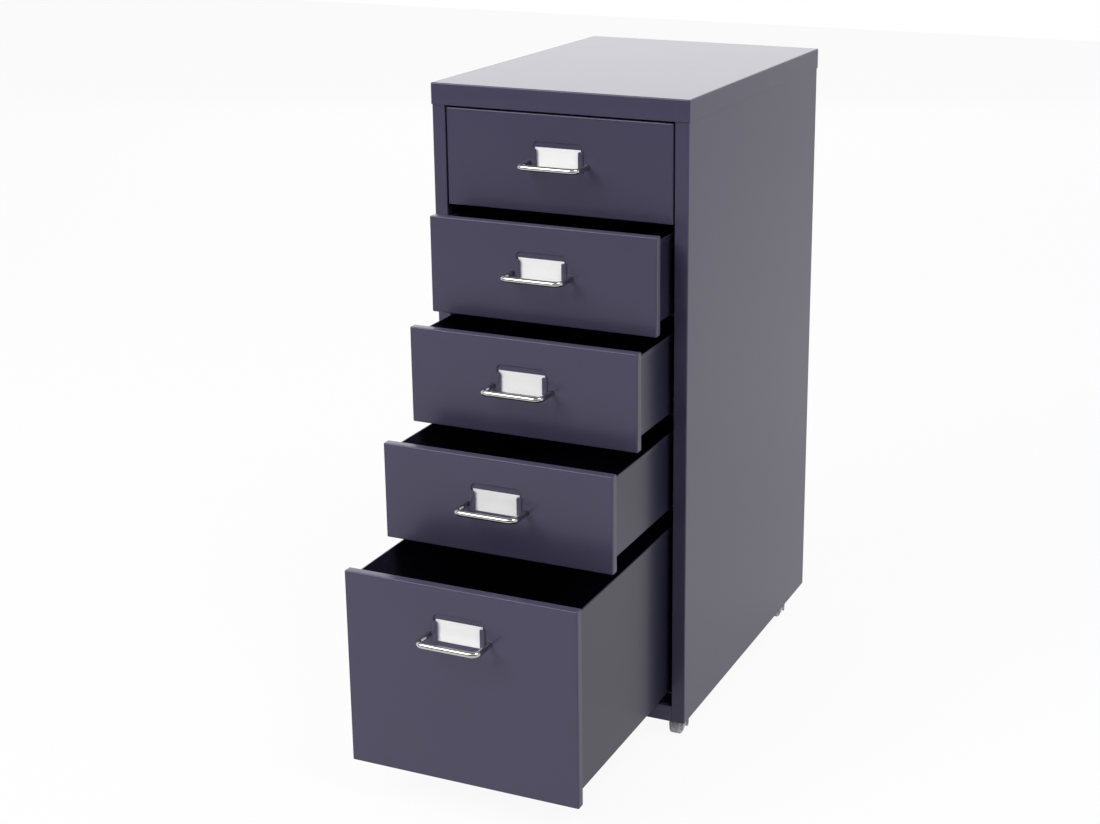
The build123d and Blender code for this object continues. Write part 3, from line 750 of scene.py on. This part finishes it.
for name, values in stagePlanes.items():
    mesh = bpy.data.meshes.new(name)
    mesh.from_pydata(values["corners"], [], [(0, 1, 2, 3)])
    plane = bpy.data.objects.new(name, mesh)
    bpy.context.scene.collection.objects.link(plane)
    plane.visible_camera = name == "floor"
    material = bpy.data.materials.new(name + "Finish")
    material.use_nodes = True
    mesh.materials.append(material)
    tree = material.node_tree
    tree.nodes.clear()
    output = tree.nodes.new("ShaderNodeOutputMaterial")
    lit = tree.nodes.new("ShaderNodeBsdfDiffuse")
    lit.inputs["Color"].default_value = (values["colour"],) * 3 + (1.0,)
    if name == "floor":
        white = tree.nodes.new("ShaderNodeEmission")
        white.inputs["Color"].default_value = plainWhite
        mixWhite(tree, whiteShare(tree, **floorWhite), lit.outputs["BSDF"],
                 white.outputs["Emission"], output)
    else:
        tree.links.new(lit.outputs["BSDF"], output.inputs["Surface"])

world = bpy.data.worlds.new("studio")
bpy.context.scene.world = world
world.use_nodes = True
tree = world.node_tree
tree.nodes.clear()
output = tree.nodes.new("ShaderNodeOutputWorld")
soft = tree.nodes.new("ShaderNodeBackground")
soft.inputs["Color"].default_value = plainWhite
soft.inputs["Strength"].default_value = worldStrength
white = tree.nodes.new("ShaderNodeBackground")
white.inputs["Color"].default_value = plainWhite
mixWhite(tree, whiteShare(tree, **worldWhite), soft.outputs["Background"],
         white.outputs["Background"], output)

lamps = {
    "key": {"place": (-1.6, -2.4, 2.6), "aim": (0.0, 0.0, 0.3), "size": 2.4, "power": 106.0},
    "fill": {"place": (1.6, -0.6, 2.9), "aim": (0.14, 0.0, 0.4), "size": 1.2, "power": 36.0},
    "back": {"place": (-1.3, 3.2, 2.0), "aim": (0.0, 0.1, 0.5), "size": 3.6, "power": 35.0},
}
for name, values in lamps.items():
    data = bpy.data.lights.new(name, "AREA")
    data.shape = "SQUARE"
    data.size, data.energy = values["size"], values["power"]
    lamp = bpy.data.objects.new(name, data)
    bpy.context.scene.collection.objects.link(lamp)
    back = np.array(values["place"]) - np.array(values["aim"])
    back = back / np.linalg.norm(back)
    right = np.cross((0.0, 0.0, 1.0), back)
    right = right / np.linalg.norm(right)
    axes = [axis.tolist() for axis in (right, np.cross(back, right), back)]
    lamp.matrix_world = placed(axes, values["place"])
print("stage: floor and lamps set")
